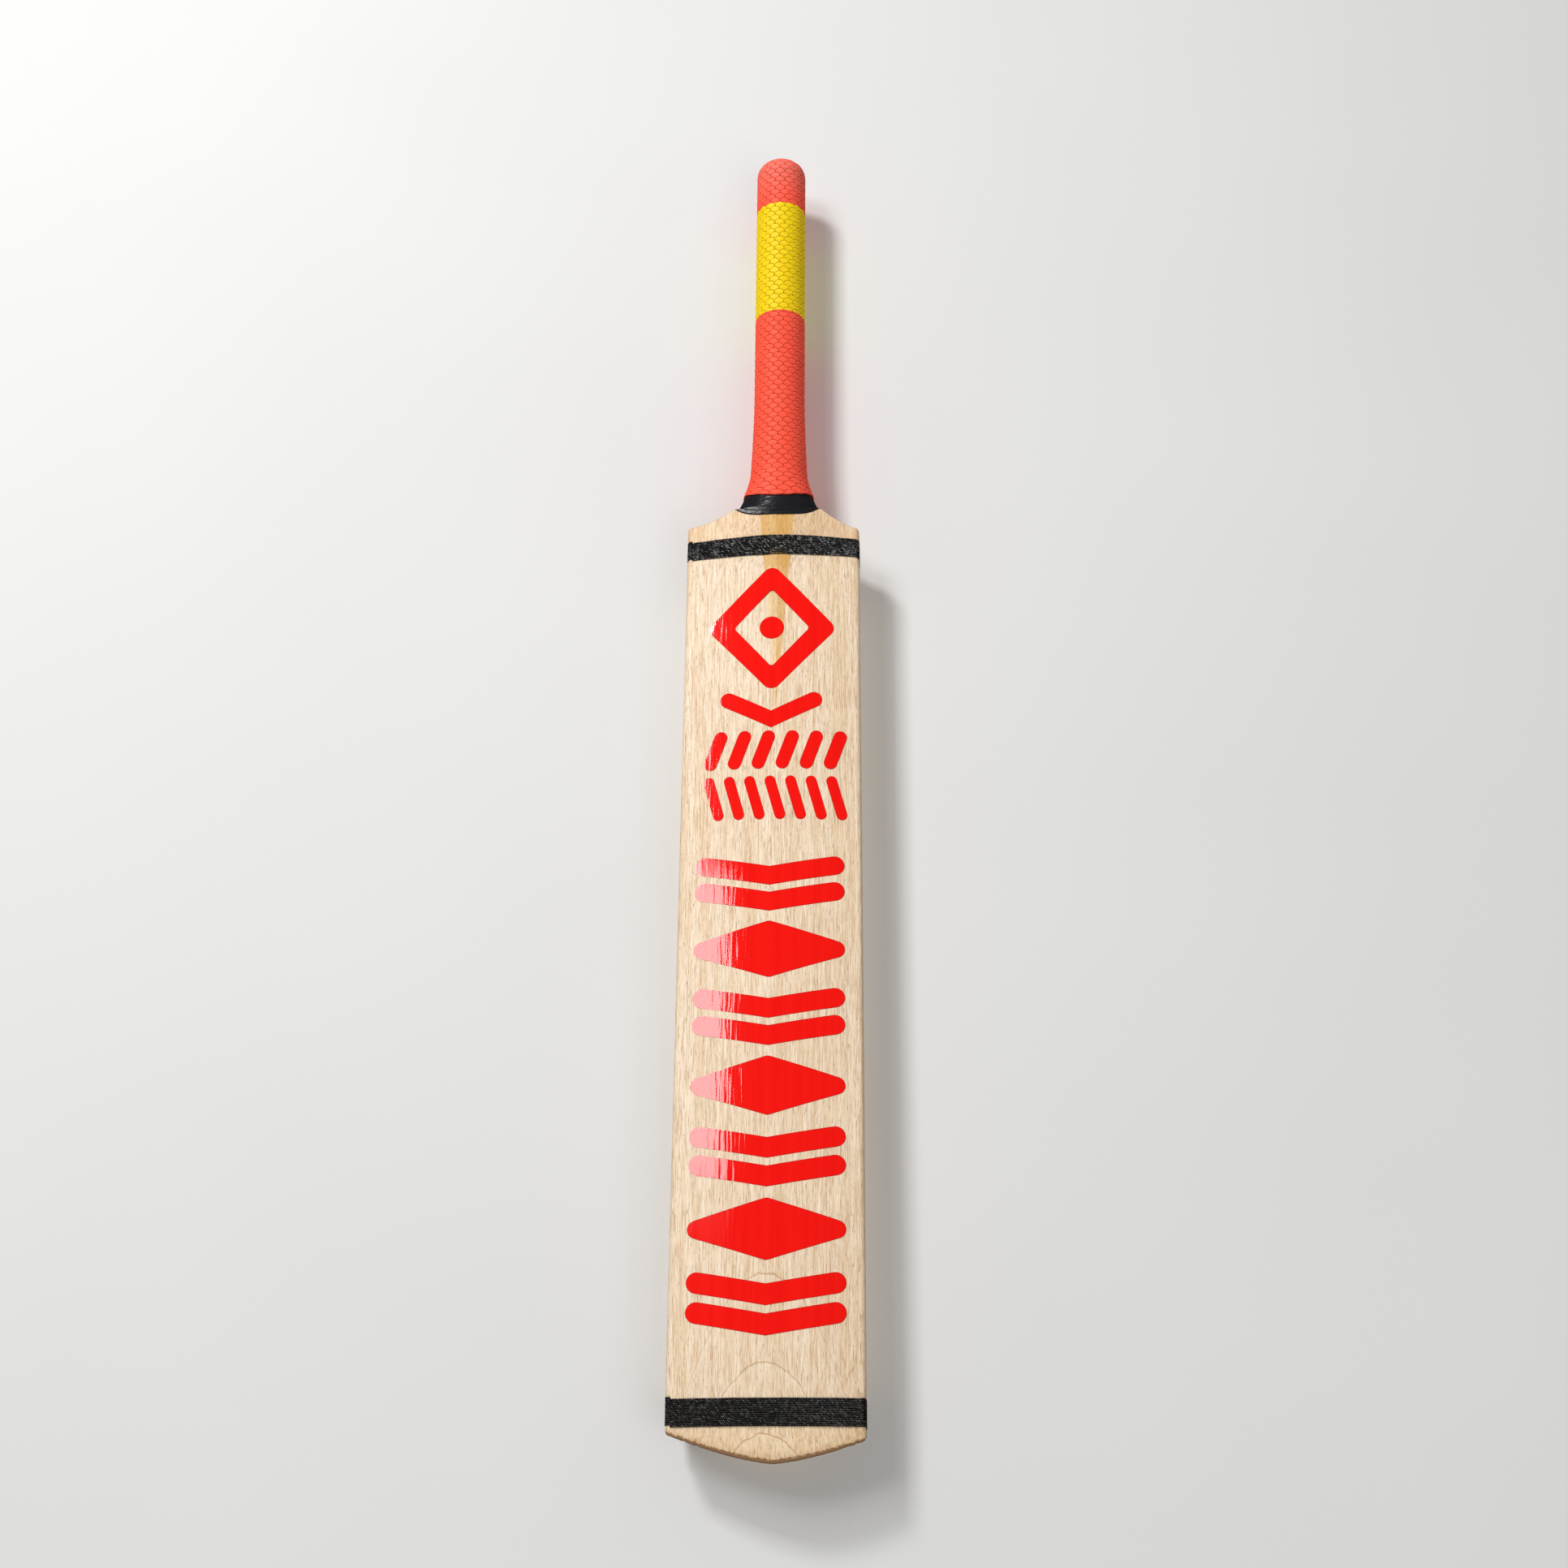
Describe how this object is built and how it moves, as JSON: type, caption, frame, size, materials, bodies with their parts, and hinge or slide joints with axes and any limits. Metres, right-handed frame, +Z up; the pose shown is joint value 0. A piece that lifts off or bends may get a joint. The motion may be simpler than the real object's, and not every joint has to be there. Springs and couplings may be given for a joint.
{
  "type": "cricket bat",
  "caption": "Full-size cricket bat with a spined wooden blade, spliced cane handle, moulded rubber grip, cord bindings and plain geometric decals.",
  "frame": {"origin": "under the middle of the overall box, at the level of the toe's tip", "axes": "+Z runs up the bat from toe to handle, the playing face looks along -Y, X runs across the blade"},
  "size_m": [0.1102, 0.0544, 0.85],
  "materials": {
    "blade_wood": "satin lacquer",
    "cane": "satin lacquer",
    "spring_rubber": "matte",
    "twine": "matte",
    "grip_red": "matte",
    "grip_yellow": "matte",
    "black_tape": "gloss",
    "black_cord": "satin",
    "red_vinyl": "gloss"
  },
  "bodies": {
    "root": {"blade": "blade_wood", "cane_front_1": "cane", "cane_front_2": "cane", "cane_front_3": "cane", "cane_front_4": "cane", "cane_middle_1": "cane", "cane_middle_2": "cane", "cane_middle_3": "cane", "cane_middle_4": "cane", "cane_back_1": "cane", "cane_back_2": "cane", "cane_back_3": "cane", "cane_back_4": "cane", "rubber_front": "spring_rubber", "rubber_back": "spring_rubber", "handle_twine": "twine", "grip_top": "grip_red", "grip_band": "grip_yellow", "grip_lower": "grip_red", "collar_tape": "black_tape", "shoulder_binding": "black_cord", "toe_binding": "black_cord", "decal_emblem": "red_vinyl", "decal_slashes_upper": "red_vinyl", "decal_slashes_lower": "red_vinyl", "decal_chevrons": "red_vinyl", "decal_lozenges": "red_vinyl"}
  },
  "joints": []
}
